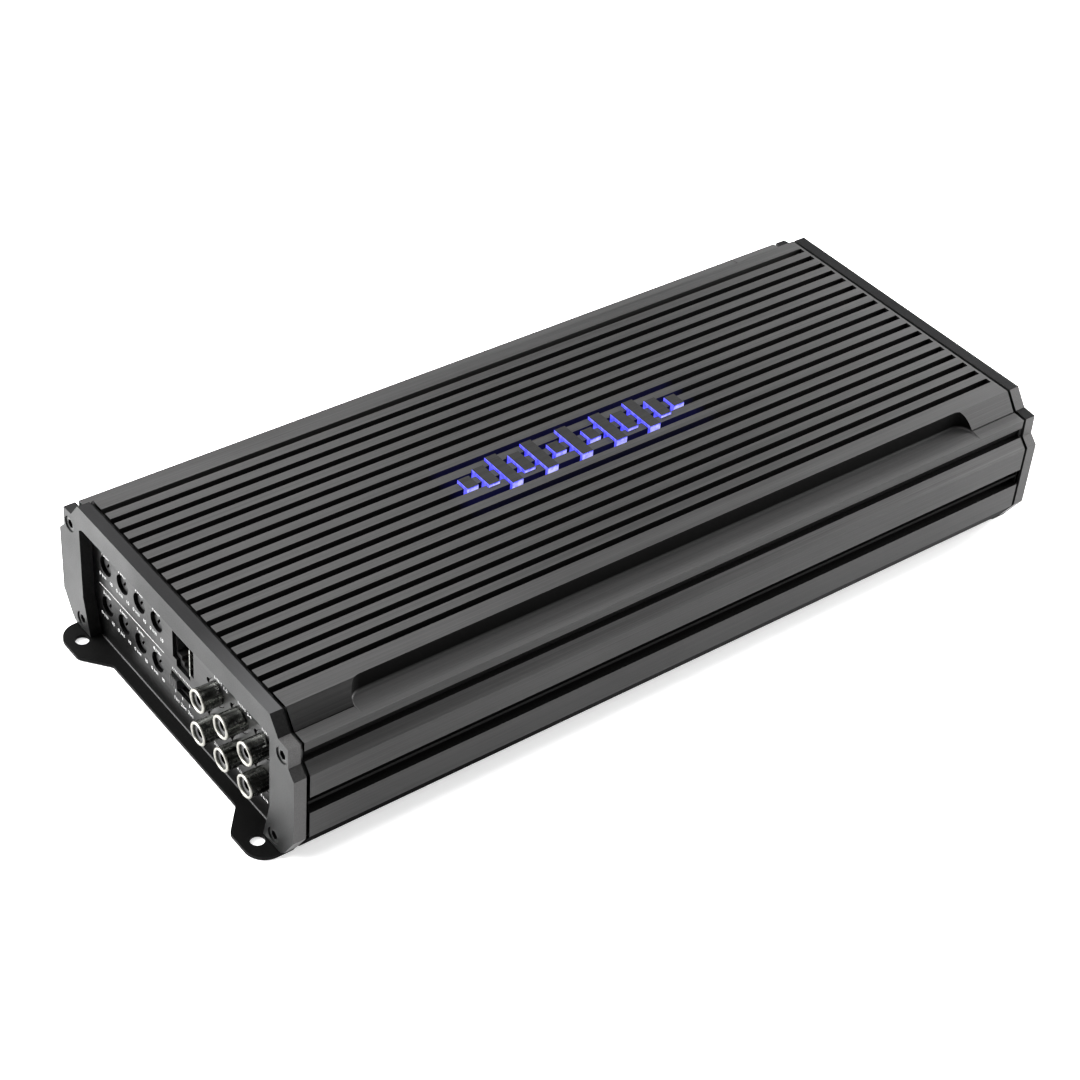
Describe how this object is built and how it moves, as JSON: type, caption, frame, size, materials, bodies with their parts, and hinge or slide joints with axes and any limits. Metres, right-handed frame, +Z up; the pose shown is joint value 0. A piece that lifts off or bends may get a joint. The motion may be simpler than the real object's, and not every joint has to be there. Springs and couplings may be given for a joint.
{
  "type": "car amplifier",
  "caption": "Long low car audio amplifier: grooved aluminium heat-sink body with slanted edges, end frames, holed mounting tabs, signal jacks, trimmers and a lit badge.",
  "frame": {"origin": "centre of the bounding box in X and Y, at the height of the underside of the mounting tabs", "axes": "+X along the long side from the input end, with the signal jacks, to the output end; +Z up, out of the grooved top; +Y completes a right-handed set, so the signal jacks are on the -Y side of the input end"},
  "size_m": [0.3366, 0.1448, 0.0569],
  "materials": {
    "dark_aluminium": "brushed, dark grey anodised",
    "black_frame": "fine satin black coat",
    "panel_steel": "brushed dark grey",
    "plate_steel": "satin black",
    "black_screw": "black oxide",
    "lit_acrylic": "lit from below, blue",
    "cap_metal": "brushed, dark grey anodised",
    "circuit_board": "solder mask",
    "black_plastic": "moulded",
    "grey_plastic": "moulded",
    "nickel": "polished nickel plate",
    "brass_contact": "plain",
    "plated_tab": "bright tin plate",
    "steel_screw": "zinc plate",
    "white_plastic": "moulded",
    "ferrite": "sintered ferrite",
    "copper_winding": "enamelled copper wire",
    "capacitor_sleeve": "shrunk sleeve",
    "fuse_plastic": "tinted",
    "led_lens": "clear lens"
  },
  "bodies": {
    "amplifier": {"heatsink_body": "dark_aluminium", "input_end_frame": "black_frame", "output_end_frame": "black_frame", "input_panel": "panel_steel", "output_panel": "panel_steel", "bottom_plate": "plate_steel", "end_frame_screws": "black_screw", "bottom_plate_screws": "black_screw", "badge_light_guide": "lit_acrylic", "badge_caps": "cap_metal", "badge_led_board": "circuit_board", "rca_housings": "black_plastic", "rca_shells": "nickel", "rca_insulators": "grey_plastic", "rca_contacts": "brass_contact", "trim_pot_bodies": "black_plastic", "remote_jack": "black_plastic", "remote_jack_contacts": "brass_contact", "mode_switch_body": "black_plastic", "power_terminal_housing": "black_plastic", "power_terminal_tabs": "plated_tab", "speaker_terminal_housing": "black_plastic", "speaker_terminal_tabs": "plated_tab", "fuse_holder": "black_plastic", "status_leds": "led_lens", "main_board": "circuit_board", "board_standoffs": "brass_contact", "board_screws": "steel_screw", "input_board": "circuit_board", "transformer_core": "ferrite", "transformer_winding": "copper_winding", "output_inductors": "copper_winding", "filter_capacitors": "capacitor_sleeve", "power_transistors": "black_plastic", "clamp_bars": "steel_screw", "clamp_screws": "steel_screw"},
    "pot_rotor_1": {"trim_pot_rotor_1": "black_plastic"},
    "pot_rotor_2": {"trim_pot_rotor_2": "black_plastic"},
    "pot_rotor_3": {"trim_pot_rotor_3": "black_plastic"},
    "pot_rotor_4": {"trim_pot_rotor_4": "black_plastic"},
    "pot_rotor_5": {"trim_pot_rotor_5": "black_plastic"},
    "pot_rotor_6": {"trim_pot_rotor_6": "black_plastic"},
    "pot_rotor_7": {"trim_pot_rotor_7": "black_plastic"},
    "pot_rotor_8": {"trim_pot_rotor_8": "black_plastic"},
    "switch_slider": {"mode_switch_slider": "black_plastic"},
    "power_screw_1": {"power_terminal_screw_1": "steel_screw"},
    "power_screw_2": {"power_terminal_screw_2": "steel_screw"},
    "power_screw_3": {"power_terminal_screw_3": "steel_screw"},
    "speaker_screw_1": {"speaker_terminal_screw_1": "steel_screw"},
    "speaker_screw_2": {"speaker_terminal_screw_2": "steel_screw"},
    "speaker_screw_3": {"speaker_terminal_screw_3": "steel_screw"},
    "speaker_screw_4": {"speaker_terminal_screw_4": "steel_screw"},
    "speaker_screw_5": {"speaker_terminal_screw_5": "steel_screw"},
    "speaker_screw_6": {"speaker_terminal_screw_6": "steel_screw"},
    "speaker_screw_7": {"speaker_terminal_screw_7": "steel_screw"},
    "speaker_screw_8": {"speaker_terminal_screw_8": "steel_screw"},
    "speaker_screw_9": {"speaker_terminal_screw_9": "steel_screw"},
    "speaker_screw_10": {"speaker_terminal_screw_10": "steel_screw"},
    "plug_fuse_1": {"fuse_1": "fuse_plastic"},
    "plug_fuse_2": {"fuse_2": "fuse_plastic"}
  },
  "joints": [
    {"name": "pot_1_turn", "type": "hinge", "parent": "amplifier", "child": "pot_rotor_1", "pos_m": [-0.1543, 0.0498, 0.03465], "axis": [-1, 0, 0], "range_deg": [-150, 150]},
    {"name": "pot_2_turn", "type": "hinge", "parent": "amplifier", "child": "pot_rotor_2", "pos_m": [-0.1543, 0.0388, 0.03465], "axis": [-1, 0, 0], "range_deg": [-150, 150]},
    {"name": "pot_3_turn", "type": "hinge", "parent": "amplifier", "child": "pot_rotor_3", "pos_m": [-0.1543, 0.0278, 0.03465], "axis": [-1, 0, 0], "range_deg": [-150, 150]},
    {"name": "pot_4_turn", "type": "hinge", "parent": "amplifier", "child": "pot_rotor_4", "pos_m": [-0.1543, 0.0168, 0.03465], "axis": [-1, 0, 0], "range_deg": [-150, 150]},
    {"name": "pot_5_turn", "type": "hinge", "parent": "amplifier", "child": "pot_rotor_5", "pos_m": [-0.1543, 0.0498, 0.01725], "axis": [-1, 0, 0], "range_deg": [-150, 150]},
    {"name": "pot_6_turn", "type": "hinge", "parent": "amplifier", "child": "pot_rotor_6", "pos_m": [-0.1543, 0.0388, 0.01725], "axis": [-1, 0, 0], "range_deg": [-150, 150]},
    {"name": "pot_7_turn", "type": "hinge", "parent": "amplifier", "child": "pot_rotor_7", "pos_m": [-0.1543, 0.0278, 0.01725], "axis": [-1, 0, 0], "range_deg": [-150, 150]},
    {"name": "pot_8_turn", "type": "hinge", "parent": "amplifier", "child": "pot_rotor_8", "pos_m": [-0.1543, 0.0168, 0.01725], "axis": [-1, 0, 0], "range_deg": [-150, 150]},
    {"name": "mode_switch_slide", "type": "slide", "parent": "amplifier", "child": "switch_slider", "axis": [0, 1, 0], "range_m": [-0.0084, 0]},
    {"name": "power_screw_1_out", "type": "slide", "parent": "amplifier", "child": "power_screw_1", "axis": [1, 0, 0], "range_m": [0, 0.003]},
    {"name": "power_screw_2_out", "type": "slide", "parent": "amplifier", "child": "power_screw_2", "axis": [1, 0, 0], "range_m": [0, 0.003]},
    {"name": "power_screw_3_out", "type": "slide", "parent": "amplifier", "child": "power_screw_3", "axis": [1, 0, 0], "range_m": [0, 0.003]},
    {"name": "speaker_screw_1_out", "type": "slide", "parent": "amplifier", "child": "speaker_screw_1", "axis": [1, 0, 0], "range_m": [0, 0.003]},
    {"name": "speaker_screw_2_out", "type": "slide", "parent": "amplifier", "child": "speaker_screw_2", "axis": [1, 0, 0], "range_m": [0, 0.003]},
    {"name": "speaker_screw_3_out", "type": "slide", "parent": "amplifier", "child": "speaker_screw_3", "axis": [1, 0, 0], "range_m": [0, 0.003]},
    {"name": "speaker_screw_4_out", "type": "slide", "parent": "amplifier", "child": "speaker_screw_4", "axis": [1, 0, 0], "range_m": [0, 0.003]},
    {"name": "speaker_screw_5_out", "type": "slide", "parent": "amplifier", "child": "speaker_screw_5", "axis": [1, 0, 0], "range_m": [0, 0.003]},
    {"name": "speaker_screw_6_out", "type": "slide", "parent": "amplifier", "child": "speaker_screw_6", "axis": [1, 0, 0], "range_m": [0, 0.003]},
    {"name": "speaker_screw_7_out", "type": "slide", "parent": "amplifier", "child": "speaker_screw_7", "axis": [1, 0, 0], "range_m": [0, 0.003]},
    {"name": "speaker_screw_8_out", "type": "slide", "parent": "amplifier", "child": "speaker_screw_8", "axis": [1, 0, 0], "range_m": [0, 0.003]},
    {"name": "speaker_screw_9_out", "type": "slide", "parent": "amplifier", "child": "speaker_screw_9", "axis": [1, 0, 0], "range_m": [0, 0.003]},
    {"name": "speaker_screw_10_out", "type": "slide", "parent": "amplifier", "child": "speaker_screw_10", "axis": [1, 0, 0], "range_m": [0, 0.003]},
    {"name": "fuse_1_pull", "type": "slide", "parent": "amplifier", "child": "plug_fuse_1", "axis": [1, 0, 0], "range_m": [0, 0.016]},
    {"name": "fuse_2_pull", "type": "slide", "parent": "amplifier", "child": "plug_fuse_2", "axis": [1, 0, 0], "range_m": [0, 0.016]}
  ]
}
